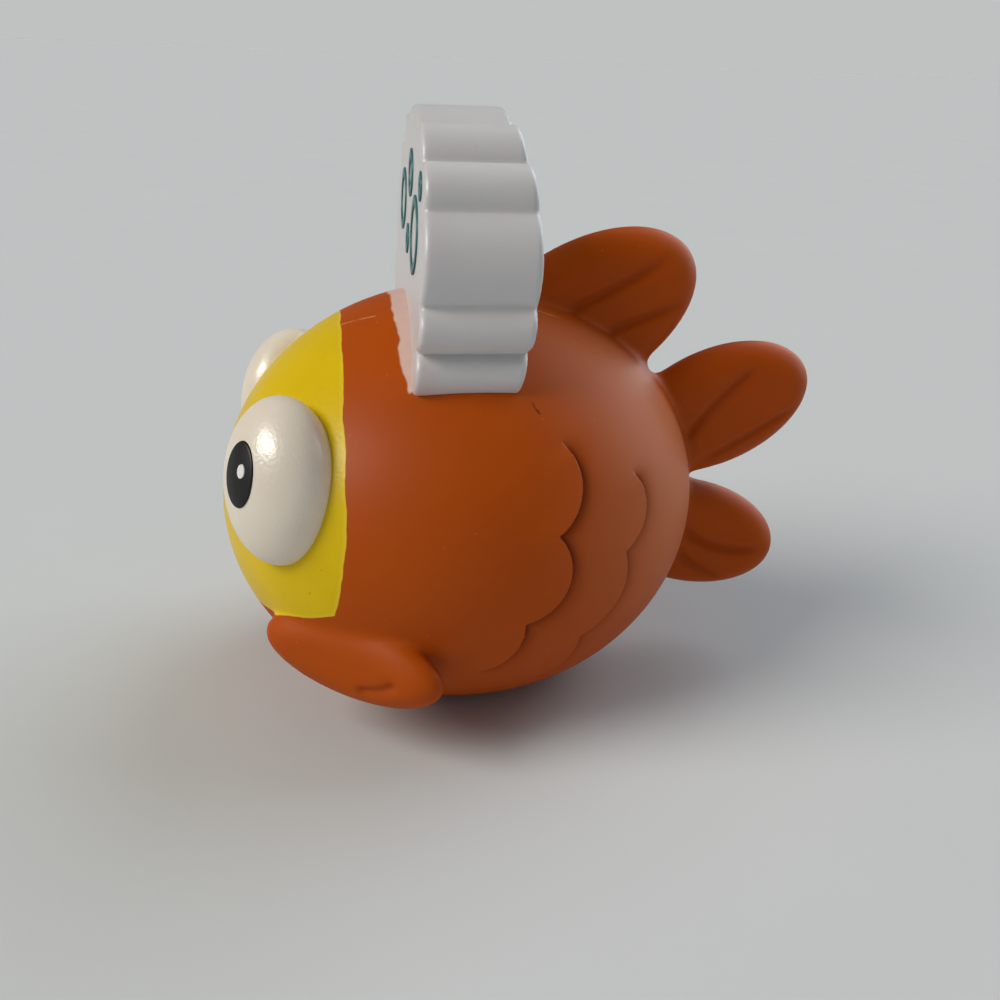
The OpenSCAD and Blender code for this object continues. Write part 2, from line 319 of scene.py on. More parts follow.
def face_edge(parts, waver):
    """How far a point lies inside the edge of the yellow coat, in millimetres."""
    y, z = parts[1:]
    dip = (MASK_BEND_TOP - z).math("MAXIMUM", 0.0)
    to_rear = MASK_REAR - dip * dip * MASK_BEND + waver * 0.7 - y
    to_low = z - (MASK_LOW + (y - MASK_REAR) * MASK_SLOPE) + waver * 0.6
    return to_rear.math("MINIMUM", to_low)


def overspray(parts, waver):
    """1 where the pale overspray lies in front of the badge, and 0 elsewhere."""
    x, y, z = parts
    reach = abs(x) / SPRAY_REACH
    front = SPRAY_FRONT + reach * reach * reach * SPRAY_BEND + waver * 1.8
    beside = step(abs(x), SPRAY_REACH + 2 * SPRAY_BLUR, SPRAY_REACH)
    return step(y - front, -SPRAY_BLUR, SPRAY_BLUR) * beside * (z > SPRAY_LOW) * (y < 0)


def vinyl_colour(spot, parts, blotch, grain, spray):
    """The orange of the vinyl, with its marks, painted sheen and painted groove shade, from the lowest layer
    to the highest.
    """
    x, y, z = parts
    # Painted sheen: a pale pinkish colour over the upper rear that stands in for a reflection.
    painted_sheen = step(y, *PAINTED_SHEEN_Y) * step(z, *PAINTED_SHEEN_Z) * step(abs(x), *PAINTED_SHEEN_X)
    first, second = (scratch(parts, ends, 0.32, 0.2, grain * 0.3) for ends in SCRATCHES)
    # The hollow value darkens the vinyl in the grooves and creases as painted shade.
    hollow = Wire.add(spot.tree, "ShaderNodeAttribute", {"attribute_name": "hollow"}, None, 2)
    layers = [
        (painted_sheen * blend(noise(spot, 9, 3), 0.4, 0.65), srgb(220, 134, 88)),
        (specks(spot, 0.8, 0.04) * 0.22, srgb(226, 170, 120)),
        (specks(scaled(spot, 0.9), 0.9, 0.01) * 0.4, srgb(70, 26, 6)),
        (first.math("MAXIMUM", second) * 0.6, srgb(214, 150, 100)),
        (scratch(parts, FLECK, 0.16, 0.1) * 0.7, srgb(216, 172, 40)),
        (scratch(parts, SCUFF, 0.5, 0.3, grain * 0.6) * 0.75, srgb(74, 24, 4)),
        (spray * blend(noise(spot, 1.4, 3), 0.75, 1.0), srgb(224, 196, 186)),
        # Painted shade in the grooves and creases.
        (hollow * 0.9, srgb(98, 25, 0)),
    ]
    colour = mix(blotch, srgb(176, 70, 0), srgb(188, 82, 0))
    for share, tone in layers:
        colour = mix(share, colour, tone)
    return colour


def face_colour(spot, to_edge):
    """The yellow of the face, with a few specks and a paler line along its edge."""
    colour = mix(noise(spot, 6, 3), srgb(222, 186, 4), srgb(236, 202, 20))
    colour = mix(specks(spot, 1.2, 0.05) * 0.4, colour, srgb(120, 92, 10))
    return mix(step(to_edge, 0.5, 0.1) * 0.6, colour, srgb(240, 206, 60))


def skin_finish():
    """The vinyl and its coats of paint as one material."""
    finish, tree, shader = new_finish("orange_vinyl_with_paint", ior=1.5, specular_ior_level=0.12)
    spot = cast_place(tree)
    x, y, z = spot.parts()
    parts = (x, y, z - BODY_MID.z)
    waver = noise(spot, 4, 2) - 0.5
    blotch, grain = noise(spot, 14, 3), noise(spot, 0.55, 2)
    to_edge, spray = face_edge(parts, waver), overspray(parts, waver)
    mask = step(to_edge, -MASK_BLUR, MASK_BLUR)
    colour = mix(mask, vinyl_colour(spot, parts, blotch, grain, spray), face_colour(spot, to_edge))
    rough = blend(mask, 0.5 + (blotch - 0.5) * 0.1 + spray * 0.1, 0.34)
    finish_with(shader, colour, rough, grain * blend(mask, 0.25, 2.2), 0.25, 0.00006)
    return finish


skin = skin_finish()
print("skin finish:", len(skin.node_tree.nodes), "nodes")

# %% [markdown]
# The body and its fins are one soft casting whose forms melt into each other. Fins could be joined to an
# egg with a Boolean, but then every root would be a hard edge. Here each form is a distance: a formula
# that is negative inside it and positive outside. A soft minimum of two distances is a union with a
# fillet, and a soft maximum with the floor's plane cuts the belly flat.

# %% Distances of the forms
FIN_HALF = 2.8
FIN_EDGE = 3.6
FINS = {
    "dorsal": ((14.4, 22.6), (15.5, 9.2), 30.5),
    "upper_tail": ((33.2, 10.9), (12.8, 7.9), 23.0),
    "lower_tail": ((31.9, -7.0), (12.4, 7.4), -15.5),
}
PECTORAL_MID = (19.2, -14.5, -12.4)
PECTORAL_SEMI = (11.8, 5.2)
PECTORAL_HALF = 2.2
PECTORAL_EDGE = 4.2
PECTORAL_FACE = math.radians(56)
PECTORAL_TILT = math.radians(-3)


def oval(parts, semi):
    """The distance to an oval or an egg with these half sizes."""
    once = length(*(p / s for p, s in zip(parts, semi)))
    twice = length(*(p / (s * s) for p, s in zip(parts, semi)))
    return once * (once - 1) / (twice + 1e-6)


def soft_union(first, second, fillet):
    """Two forms joined with a fillet."""
    return first.math("SMOOTH_MIN", second, fillet)


def paddle(u, v, across, semi, half, edge):
    """A flat fin: an oval along u and v, half thick each way, with a rounded rim."""
    rim = (oval((u, v), semi) + edge).math("MAXIMUM", 0.0) * (half / edge)
    return length(rim, across) - half


def turned(a, b, angle):
    """Two coordinates after the axes turn by an angle."""
    return a * math.cos(angle) + b * math.sin(angle), b * math.cos(angle) - a * math.sin(angle)


print("fins:", ", ".join(FINS), "and two pectoral fins")

# %% [markdown]
# The whole casting is those distances joined in order: body, three fins on the middle plane, and the
# pectoral fins, which use the size of x alone so that both sides come from one formula. The squeaker's
# pocket is cut last, from a wide recess for the flange and a deeper one for the plug.

# %% The casting's formula
FILLET = 2.6
PECTORAL_FILLET = 0.9
BELLY_EDGE = 1.6
flange_low, flange_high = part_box("squeaker_housing")
POCKET_R = flange_high.x / MM + 0.2
POCKET_TOP = flange_low.z / MM + 1.4
PLUG_R = POCKET_R - 1.1
PLUG_TOP = flange_high.z / MM + 0.4


def pectoral_axes(x, y, z):
    """A point's place in the frame of the pectoral fin on its own side."""
    a, b, c = abs(x) - PECTORAL_MID[0], y - PECTORAL_MID[1], z - PECTORAL_MID[2]
    u, inward = turned(a, b, PECTORAL_FACE)
    u, v = turned(u, c, PECTORAL_TILT)
    return u, v, inward


def casting_distance(x, y, z):
    """The distance to the casting, in millimetres from the body's middle."""
    form = oval((x, y, z), BODY_SEMI)
    for (mid_y, mid_z), semi, tilt in FINS.values():
        u, v = turned(y - mid_y, z - mid_z, math.radians(tilt))
        form = soft_union(form, paddle(u, v, x, semi, FIN_HALF, FIN_EDGE), FILLET)
    u, v, inward = pectoral_axes(x, y, z)
    pectoral = paddle(u, v, inward, PECTORAL_SEMI, PECTORAL_HALF, PECTORAL_EDGE)
    form = soft_union(form, pectoral, PECTORAL_FILLET)
    height = z + BODY_MID.z
    form = form.math("SMOOTH_MAX", -height, BELLY_EDGE)
    axis = length(x, y)
    recess = (axis - POCKET_R).math("MAXIMUM", height - POCKET_TOP)
    hole = (axis - PLUG_R).math("MAXIMUM", height - PLUG_TOP)
    return form.math("MAXIMUM", -recess.math("MINIMUM", hole))


print("pocket for the squeaker: radius", round(POCKET_R, 2), "mm")

# %% [markdown]
# Two scalloped scale lines are pressed into each flank. Each fin on the middle plane has two creases, and
# a pectoral fin has one. They could be drawn as bump, but they show as real steps from the side, so they
# are geometry. Each line is a row of points that carry the direction of their back side and a strength
# that fades at the ends. The flank lines are chains of three arcs, given by their ends and how far each
# arc bulges, laid on the egg.

# %% Lines pressed into the skin
SCALE_LINES = [
    ([(7.9, 14.3), (7.7, 4.8), (4.5, -5.6), (-0.6, -13.3)], (2.6, 3.2, 1.7)),
    ([(16.7, 10.0), (16.1, 1.3), (11.5, -9.1), (6.8, -16.5)], (2.3, 2.3, 1.4)),
]
FIN_CREASES = {
    "dorsal": [[(-6.0, 2.8), (3.4, 2.1), (13.4, 1.8)], [(-4.6, -1.2), (4.3, -2.7), (13.0, -4.3)]],
    "upper_tail": [[(-6.6, -2.6), (-0.4, 1.4), (7.6, 4.3)], [(-5.6, -5.7), (2.4, -4.6), (11.2, -3.2)]],
    "lower_tail": [[(-3.6, 2.4), (2.6, -0.4), (11.6, 1.4)], [(-2.6, -1.6), (1.6, -3.9), (6.8, -4.9)]],
}
PECTORAL_CREASE = [(1.4, -2.7), (4.7, -1.8), (7.3, -0.1)]
POINT_GAP = 0.06
SCALE_FADE, CREASE_FADE, PECTORAL_FADE = 0.07, 0.25, 0.2


def arc(start, end, bulge):
    """Points along an arc between two places that bulges to the back, and the back side of each."""
    start, end = Vector(start), Vector(end)
    chord = end - start
    side = Vector((-chord.y, chord.x)).normalized()
    radius = (chord.length_squared / 4 + bulge * bulge) / (2 * bulge)
    middle = (start + end) / 2 + side * (bulge - radius)
    half = math.asin(min(1, chord.length / 2 / radius))
    count = max(8, int(2 * half * radius / POINT_GAP))
    for i in range(count + 1):
        turn = half * (1 - 2 * i / count)
        back = side * math.cos(turn) - chord.normalized() * math.sin(turn)
        yield middle + back * radius, back


def curve(places):
    """Points along a smooth curve through three places, and the side of each."""
    first, second, third = (Vector(p) for p in places)
    count = int((third - first).length / POINT_GAP)
    for i in range(count + 1):
        t = i / count
        spot = first * (1 - t) * (1 - 2 * t) + second * 4 * t * (1 - t) + third * t * (2 * t - 1)
        run = first * (4 * t - 3) + second * (4 - 8 * t) + third * (4 * t - 1)
        yield spot, Vector((-run.y, run.x)).normalized()


def fade(count, share):
    """Strengths along a line that rise and fall over a share of its length at each end."""
    rise = [min(1, i / (count * share), (count - 1 - i) / (count * share)) for i in range(count)]
    return [r * r * (3 - 2 * r) for r in rise]


print("scale lines:", len(SCALE_LINES), "on each flank")

# %% [markdown]
# The rows of points are collected in one hidden piece, for both sides of the toy. Each point also says
# whether it belongs to a step, as a scale's edge is, or to a plain crease.

# %% Collect the points of the lines
line_points = []


def add_row(spots, sides, strengths, is_step):
    """Keeps one row of points, and its mirror image on the other side."""
    for spot, side, strength in zip(spots, sides, strengths):
        for way in (1, -1):
            flip = Vector((way, 1, 1))
            line_points.append((spot * flip + BODY_MID, side * flip, strength, float(is_step)))


def add_scale_line(ends, bulges):
    """A chain of arcs laid on the flank, given by places along y and z."""
    row = [p for a, b, bulge in zip(ends, ends[1:], bulges) for p in arc(a, b, bulge)]
    spots = []
    for spot, back in row:
        inside = 1 - (spot.x / BODY_SEMI.y) ** 2 - (spot.y / BODY_SEMI.z) ** 2
        spots.append(Vector((BODY_SEMI.x * math.sqrt(inside), spot.x, spot.y)))
    backs = [Vector((0, *back)) for spot, back in row]
    add_row(spots, backs, fade(len(row), SCALE_FADE), True)


def add_fin_crease(fin, places):
    """A crease on the side of a fin, given by places along the fin and across it."""
    (mid_y, mid_z), semi, tilt = FINS[fin]
    back_turn = -math.radians(tilt)
    row = list(curve(places))
    spots = [Vector((FIN_HALF, *turned(*spot, back_turn))) + Vector((0, mid_y, mid_z)) for spot, side in row]
    sides = [Vector((0, *turned(*side, back_turn))) for spot, side in row]
    add_row(spots, sides, fade(len(row), CREASE_FADE), False)


def add_pectoral_crease(places):
    """A crease on the outer face of a pectoral fin."""
    along = Vector((math.cos(PECTORAL_FACE), math.sin(PECTORAL_FACE), 0))
    outward = Vector((math.sin(PECTORAL_FACE), -math.cos(PECTORAL_FACE), 0))
    face = Vector(PECTORAL_MID) + outward * (PECTORAL_HALF * 0.9)
    row = list(curve(places))
    spots = [face + along * spot.x + UP * spot.y for spot, side in row]
    sides = [along * side.x + UP * side.y for spot, side in row]
    add_row(spots, sides, fade(len(row), PECTORAL_FADE), False)


for ends, bulges in SCALE_LINES:
    add_scale_line(ends, bulges)
for fin, creases in FIN_CREASES.items():
    for places in creases:
        add_fin_crease(fin, places)
add_pectoral_crease(PECTORAL_CREASE)

lines = new_piece("pressed_lines", [point[0] for point in line_points])
for column, label in enumerate(("side", "strength", "is_step"), 1):
    values = np.array([point[column] for point in line_points], np.float32)
    kind, key = ("FLOAT_VECTOR", "vector") if values.ndim > 1 else ("FLOAT", "value")
    lines.data.attributes.new(label, kind, "POINT").data.foreach_set(key, values.ravel())
print("points on the pressed lines:", len(line_points))

# %% [markdown]
# The casting's recipe fills a box with the formula's value, as a scan would, and draws the surface where
# the value passes through zero. A line's distance is kept on each point for the next step.

# %% Cast the body and fins
VOXEL = 0.55
CAST_NODES = [
    "body_shell", "left_flank", "right_flank", "face_paint",
    "dorsal_fin", "upper_tail_fin", "lower_tail_fin", "left_pectoral_fin", "right_pectoral_fin",
]


def nearest_line(tree, target):
    """The offset from the nearest point of the pressed lines, and that point's side, strength and kind."""
    info = Wire.add(tree, "GeometryNodeObjectInfo", None, {"Object": target}, 4)
    here = Wire.add(tree, "GeometryNodeInputPosition")
    index = Wire.add(tree, "GeometryNodeSampleNearest", {"domain": "POINT"}, {"Geometry": info})

    def sample(value, kind):
        sockets = {"Geometry": info, "Value": value, "Index": index}
        return Wire.add(tree, "GeometryNodeSampleIndex", {"data_type": kind, "domain": "POINT"}, sockets)

    def stored(label, kind):
        value = Wire.add(tree, "GeometryNodeInputNamedAttribute", {"data_type": kind}, {"Name": label})
        return sample(value, kind)

    offset = scaled(here.vector("SUBTRACT", sample(here, "FLOAT_VECTOR")), 1 / MM)
    return offset, stored("side", "FLOAT_VECTOR"), stored("strength", "FLOAT"), stored("is_step", "FLOAT")


def store(shape, label, value, kind="FLOAT"):
    """The shape with a value kept under a label on each of its points."""
    sockets = {"Geometry": shape, "Name": label, "Value": value}
    return Wire.add(shape.tree, "GeometryNodeStoreNamedAttribute", {"data_type": kind}, sockets)


def from_middle(tree):
    """A point's place in millimetres from the body's middle."""
    here = scaled(Wire.add(tree, "GeometryNodeInputPosition"), 1 / MM)
    return here.vector("SUBTRACT", tuple(BODY_MID)).parts()


def scan_recipe(name, formula, material, target=None):
    """A recipe that scans a box for the surface where the formula is zero."""
    inputs = {"Low": "NodeSocketVector", "High": "NodeSocketVector"}
    inputs |= {f"Cells {axis}": "NodeSocketInt" for axis in "XYZ"}
    inputs |= {"Lines": "NodeSocketObject"} if target else {}
    tree, given = new_recipe(name, inputs)
    sockets = {"Density": 1 - formula(*from_middle(tree)), "Min": given["Low"], "Max": given["High"]}
    sockets |= {f"Resolution {axis}": given[f"Cells {axis}"] for axis in "XYZ"}
    scan = Wire.add(tree, "GeometryNodeVolumeCube", None, sockets)
    shape = Wire.add(tree, "GeometryNodeVolumeToMesh", None, {"Volume": scan, "Threshold": 1.0})
    if target:
        offset = nearest_line(tree, given["Lines"])[0]
        shape = store(shape, "to_line", offset.vector("LENGTH", out=1))
    end_recipe(shape, material)
    return tree


def scan_values(nodes, voxel, room=1.5):
    """The inputs of a scan: a box around these solids, and its cells."""
    lows, highs = zip(*(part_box(node) for node in nodes))
    low = Vector(min(v) - room * MM for v in zip(*lows))
    high = Vector(max(v) + room * MM for v in zip(*highs))
    cells = {f"Cells {a}": int(v / (voxel * MM)) + 1 for a, v in zip("XYZ", high - low)}
    return {"Low": low, "High": high} | cells


casting = new_piece("goldfish_casting")
recipe = scan_recipe("casting", casting_distance, skin, lines)
run_recipe(recipe, casting, scan_values(CAST_NODES, VOXEL) | {"Lines": lines})
print("casting:", len(casting.data.vertices), "points")

# %% [markdown]
# A pressed line is finer than the scan. A finer scan would spend most of its faces where nothing is
# pressed, so only the faces near the lines are split, twice, before the relief.

# %% Finer faces along the lines
SPLIT_REACHES = (2.0, 0.85)


def split_near_lines(piece, reach):
    """Splits every edge that lies within reach of a pressed line."""
    shape = bmesh.new()
    shape.from_mesh(piece.data)
    gap = shape.verts.layers.float["to_line"]
    near = [e for e in shape.edges if max(v[gap] for v in e.verts) < reach]
    bmesh.ops.subdivide_edges(shape, edges=near, cuts=1, use_grid_fill=True)
    bmesh.ops.triangulate(shape, faces=[f for f in shape.faces if len(f.verts) > 4])
    shape.to_mesh(piece.data)
    shape.free()


for reach in SPLIT_REACHES:
    split_near_lines(casting, reach)
print("casting after splitting:", len(casting.data.vertices), "points")

# %% [markdown]
# The relief recipe first moves each point onto the formula's exact surface, along the formula's slope,
# which takes out the scan's small steps. Then it presses the lines in. A scale's edge stands up in front
# of its line, drops off at the line, and rises again behind it. A crease is a plain hollow. How much painted
# shade each point gets in a groove, and its place before the pressing, are kept on it for the skin's finish.

# %% Press the lines
SETTLE_LIMIT, SETTLE_TURNS = 0.3, 2
FLATTEST = 0.05
LIP_RUN, DROP_RUN = 2.2, 0.75
EDGE_START, EDGE_END = -0.1, 0.22
CREASE_SPREAD, CREASE_SHADE = 0.45, 0.3
RELIEF_CLEAR, RELIEF_FULL = 4.0, 1.5


def slope(formula, x, y, z, reach=0.05):
    """How a formula changes along each axis, and its value."""
    value = formula(x, y, z)
    ahead = (formula(x + reach, y, z), formula(x, y + reach, z), formula(x, y, z + reach))
    return [(a - value) / reach for a in ahead], value


def onto_surface(shape, formula):
    """The shape with each point moved onto the surface where the formula is zero."""
    run, value = slope(formula, *from_middle(shape.tree))
    share = value / (sum(r * r for r in run) + FLATTEST) * -MM
    limit = SETTLE_LIMIT * MM
    sockets = {a: (r * share).math("MAXIMUM", -limit).math("MINIMUM", limit) for a, r in zip("XYZ", run)}
    move = Wire.add(shape.tree, "ShaderNodeCombineXYZ", None, sockets)
    for turn in range(SETTLE_TURNS):
        shape = moved(shape, move)
    return shape


def moved(shape, offset):
    """The shape with each point moved by an offset."""
    return Wire.add(shape.tree, "GeometryNodeSetPosition", None, {"Geometry": shape, "Offset": offset})


def relief_recipe(formula, material):
    """A recipe that settles a scan on its formula and then presses the lines into it."""
    inputs = {"Lines": "NodeSocketObject"} | {label: "NodeSocketFloat" for label in ("Lip", "Drop", "Crease")}
    tree, given = new_recipe("relief", inputs)
    shape = onto_surface(given["Geometry"], formula)
    offset, side, strength, is_step = nearest_line(tree, given["Lines"])
    away = offset.vector("LENGTH", out=1)
    behind = away * offset.vector("DOT_PRODUCT", side, out=1).math("SIGN")
    ahead = (behind.math("MINIMUM", 0.0) / LIP_RUN).math("EXPONENT") * given["Lip"]
    after = (behind.math("MAXIMUM", 0.0) / -DROP_RUN).math("EXPONENT")
    edge = step(behind, EDGE_START, EDGE_END)
    crease = (away * away / -CREASE_SPREAD).math("EXPONENT")
    # Painted shade for the skin's finish: how much darker each point is in its groove or crease.
    shape = store(shape, "hollow", blend(is_step, crease * CREASE_SHADE, after * edge) * strength)
    shape = store(shape, "cast_place", Wire.add(tree, "GeometryNodeInputPosition"), "FLOAT_VECTOR")
    pressed = blend(edge, ahead, -(after * given["Drop"]))
    press = blend(is_step, -(crease * given["Crease"]), pressed) * strength
    press = press * step(away, RELIEF_CLEAR, RELIEF_FULL) * MM
    end_recipe(moved(shape, scaled(Wire.add(tree, "GeometryNodeInputNormal"), press)), material)
    return tree


recipe = relief_recipe(casting_distance, skin)
run_recipe(recipe, casting, {"Lines": lines, "Lip": 0.3, "Drop": 0.75, "Crease": 0.42})
bpy.data.objects.remove(lines)
print("casting has", sum(len(p.vertices) - 2 for p in casting.data.polygons), "triangles")

# %% [markdown]
# An eye is a tall, flattened egg that bulges from the face, turned outwards and tipped a little back, and
# painted a warm white. Its back follows just under the skin, so that it is a closed cap. A scaled sphere
# would have its poles at the top and bottom, where they show. Here the rings run around the way that the
# egg faces, which puts one pole under the pupil and the other inside the body. The egg's middle is given
# from the toy's origin on the floor.

# %% Eyes
EYE_SUNK = 0.6
EYE_MID = Vector((14.9, -21.9, 33.0))
EYE_SEMI = Vector((7.1, 5.1, 9.6))
EYE_TURN = Matrix.Rotation(math.radians(45), 3, "Z") @ Matrix.Rotation(math.radians(-8), 3, "X")
EYE_RINGS, EYE_SPOKES = 56, 96
SIDES = {"left": 1, "right": -1}


def eye_finish():
    """Warm white gloss paint with a fine grain and a few specks."""
    finish, tree, shader = new_finish("warm_white_eye_paint", ior=1.5, specular_ior_level=0.5)
    spot = place(tree)
    tone = noise(spot, 5, 3)
    colour = mix(tone, srgb(236, 224, 206), srgb(244, 233, 217))
    colour = mix(specks(spot, 0.9, 0.04) * 0.5, colour, srgb(150, 128, 104))
    grain = noise(spot, 0.4, 2)
    finish_with(shader, colour, blend(tone, 0.26, 0.32), grain, 0.5, 0.00008)
    return finish


def ring_faces(rings, spokes):
    """Faces of a closed form made of a first point, rings of points, and a last point."""
    last = 1 + (rings - 1) * spokes
    faces = []
    for k in range(spokes):
        a, b = 1 + k, 1 + (k + 1) % spokes
        faces.append((0, a, b))
        for i in range(rings - 2):
            ring, below = i * spokes, (i + 1) * spokes
            faces.append((a + ring, a + below, b + below, b + ring))
        ring = (rings - 2) * spokes
        faces.append((a + ring, last, b + ring))
    return faces


def mirrored_piece(name, points, faces, way, finish):
    """A smooth piece on the left, or its mirror image on the right where way is -1."""
    flip = Vector((way, 1, 1))
    piece = new_piece(name, [p * flip for p in points], faces if way > 0 else [f[::-1] for f in faces])
    piece.data.shade_smooth()
    piece.data.materials.append(finish)
    return piece


def eye_points(rings, spokes):
    """An eye's points, as rings around the way that it looks, with its back pulled under the skin."""
    points = []
    for i in range(rings + 1):
        lean = math.pi * i / rings
        for k in range(spokes if 0 < i < rings else 1):
            turn = 2 * math.pi * k / spokes
            rim = (math.cos(turn) * math.sin(lean), -math.cos(lean), math.sin(turn) * math.sin(lean))
            spot = EYE_MID - BODY_MID + EYE_TURN @ (Vector(rim) * EYE_SEMI)
            depth = Vector(a / b for a, b in zip(spot, BODY_SEMI)).length
            points.append(spot * max(1, (1 - EYE_SUNK / BODY_SEMI.x) / depth) + BODY_MID)
    return points


eye_paint = eye_finish()
egg = eye_points(EYE_RINGS, EYE_SPOKES), ring_faces(EYE_RINGS, EYE_SPOKES)
eyes = {side: mirrored_piece(f"{side}_eye_bulge", *egg, way, eye_paint) for side, way in SIDES.items()}
print("eyes:", len(egg[0]), "points each")

# %% [markdown]
# A pupil is a printed oval of black on the eye, and a glint is a white dot on the pupil. They could be
# drawn in the eye's material, as the coats on the skin are, but they are pieces of their own in the frame.
# So each is a thin cap with a soft rim. A flat oval is projected along the way that the eye looks onto the
# egg, grown by the height of the coat, so that the cap lies on the eye from any side.

# %% Pupils and glints
COAT = 0.15
LOOK_TURN = math.radians(41)
LOOK = Vector((math.sin(LOOK_TURN), -math.cos(LOOK_TURN), 0))
LOOK_SIDE = Vector((math.cos(LOOK_TURN), math.sin(LOOK_TURN), 0))
PUPIL_UP = 1.9
PUPIL_SEMI, PUPIL_MID = (2.3, 3.6), (-0.8, 0)
GLINT_SEMI, GLINT_MID = (0.55, 0.75), (-0.1, 0.7)
RIM_SHARE = 0.03
RIM_TURNS = (0, 0.5, 1.0, math.pi / 2)


def onto_eye(a, b, grow):
    """The point of the eye, grown a little, that lies straight ahead of a place on a flat plate before it."""
    semi = EYE_SEMI + Vector((grow, grow, grow))
    start = LOOK_SIDE * a + UP * (b + PUPIL_UP)
    s, d = (Vector(p / q for p, q in zip(v @ EYE_TURN, semi)) for v in (start, LOOK))
    reach = (-s.dot(d) + math.sqrt(s.dot(d) ** 2 - d.dot(d) * (s.dot(s) - 1))) / d.dot(d)
    return EYE_MID + start + LOOK * reach


def cap_points(semi, middle, low, high, rings, spokes):
    """A thin cap's points: rings over its face, a rounded rim, and rings back under it."""
    levels = [(i / rings, high) for i in range(rings)]
    for turn in RIM_TURNS:
        levels.append((1 - RIM_SHARE + RIM_SHARE * math.sin(turn), low + (high - low) * math.cos(turn)))
    levels += [(0.6, low - COAT), (0, low - COAT)]
    points = []
    for share, grow in levels:
        for k in range(spokes if share > 0 else 1):
            turn = 2 * math.pi * k / spokes
            a, b = semi[0] * share * math.cos(turn), semi[1] * share * math.sin(turn)
            points.append(onto_eye(middle[0] + a, middle[1] + b, grow))
    return points, ring_faces(len(levels) - 1, spokes)


def plain_finish(name, tones, roughness, patch=1.5, grain=0.5, ior=1.5, specular_ior_level=0.25):
    """A finish that varies a little in tone and gloss, in patches, with a fine grain; paint by default."""
    finish, tree, shader = new_finish(name, ior=ior, specular_ior_level=specular_ior_level)
    spot = place(tree)
    tone = noise(spot, patch, 3)
    colour = mix(tone, *(srgb(*rgb) for rgb in tones))
    finish_with(shader, colour, blend(tone, *roughness), noise(spot, grain, 2), 0.2, 0.00004)
    return finish


black_coat = plain_finish("black_pupil_paint", ((14, 15, 14), (24, 25, 23)), (0.35, 0.43))
white_coat = plain_finish("white_glint_paint", ((236, 236, 230), (246, 246, 242)), (0.3, 0.38))
pupil = cap_points(PUPIL_SEMI, PUPIL_MID, 0.0, COAT, 14, 72)
glint = cap_points(GLINT_SEMI, GLINT_MID, COAT, 2 * COAT, 8, 36)
pupils, glints = {}, {}
for side, way in SIDES.items():
    pupils[side] = mirrored_piece(f"{side}_pupil_coat", *pupil, way, black_coat)
    glints[side] = mirrored_piece(f"{side}_glint_coat", *glint, way, white_coat)
print("pupils and glints:", len(pupils) + len(glints), "caps")

# %% [markdown]
# The badge is a thick white plate that stands across the head, with round lobes around its edge. It
# could be an outline extruded and bevelled, but a bevel pinches in the notches. So it is cast as the body
# is, by scanning a formula, which rounds its edges and softens its notches in one go. Each lobe is a disc
# that passes through two notches, and the discs are joined to a flat-sided middle. The front leans, and
# the back curves in towards the top and the foot.

# %% Badge
badge_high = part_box("badge")[1]
BADGE_HALF = badge_high.x / MM
BADGE_TOP = badge_high.z / MM + 0.2
BADGE_H = 28.6
BADGE_EDGE = 0.55
BADGE_FRONT, BADGE_BACK = (0.65, 0.2, -6.8), (0.1, 1.7, 5.4)
BADGE_SUNK = 0.8
BADGE_VOXEL = 0.64 * VOXEL
NOTCHES = [(0.33, 0.965), (0.65, 0.86), (0.885, 0.722), (0.945, 0.39), (0.895, 0.222), (0.82, 0.04)]
LOBE_BULGE = 2.0
NOTCH_DEPTH = 0.7
NOTCH_FILLET = 0.18


def badge_notches():
    """Places of the notches on one side, from the top down, in millimetres."""
    half = BADGE_HALF - NOTCH_DEPTH
    return [Vector((half * a, BADGE_TOP - NOTCH_DEPTH - BADGE_H * (1 - b))) for a, b in NOTCHES]


def lobe_disc(start, end):
    """The middle and radius of the disc that bulges past the line between two notches."""
    chord = end - start
    side = Vector((-chord.y, chord.x)).normalized()
    radius = (chord.length_squared / 4 + LOBE_BULGE * LOBE_BULGE) / (2 * LOBE_BULGE)
    return (start + end) / 2 + side * (LOBE_BULGE - radius), radius


def badge_outline(x, z):
    """The distance to the badge's scalloped outline."""
    notches = badge_notches()
    across = abs(x)
    form = z - notches[0].y
    for a, b in zip(notches, notches[1:]):
        edge = b - a
        side = Vector((-edge.y, edge.x)).normalized()
        form = form.math("MAXIMUM", (across - a.x) * side.x + (z - a.y) * side.y)
    top = Vector((-notches[0].x, notches[0].y))
    for a, b in zip([top] + notches, notches):
        middle, radius = lobe_disc(a, b)
        disc = length((across if middle.x else x) - middle.x, z - middle.y) - radius
        form = soft_union(form, disc, NOTCH_FILLET)
    return form


def badge_face(height, lean, hollow, middle):
    """Where a face of the badge stands along y, at a height above the floor."""
    rise = (height - (BADGE_TOP - BADGE_H / 2)) / (BADGE_H / 2)
    return rise * (lean - rise * hollow) + middle


def badge_distance(x, y, z):
    """The distance to the badge, in millimetres from the body's middle."""
    height = z + BODY_MID.z
    front, back = badge_face(height, *BADGE_FRONT), badge_face(height, *BADGE_BACK)
    walls = badge_outline(x, height) + BADGE_EDGE
    faces = (front - y).math("MAXIMUM", y - back) + BADGE_EDGE
    outer = length(walls.math("MAXIMUM", 0.0), faces.math("MAXIMUM", 0.0))
    form = outer + walls.math("MAXIMUM", faces).math("MINIMUM", 0.0) - BADGE_EDGE
    seat = oval((x, y, z), BODY_SEMI - Vector((BADGE_SUNK, BADGE_SUNK, BADGE_SUNK)))
    return form.math("MAXIMUM", -seat)


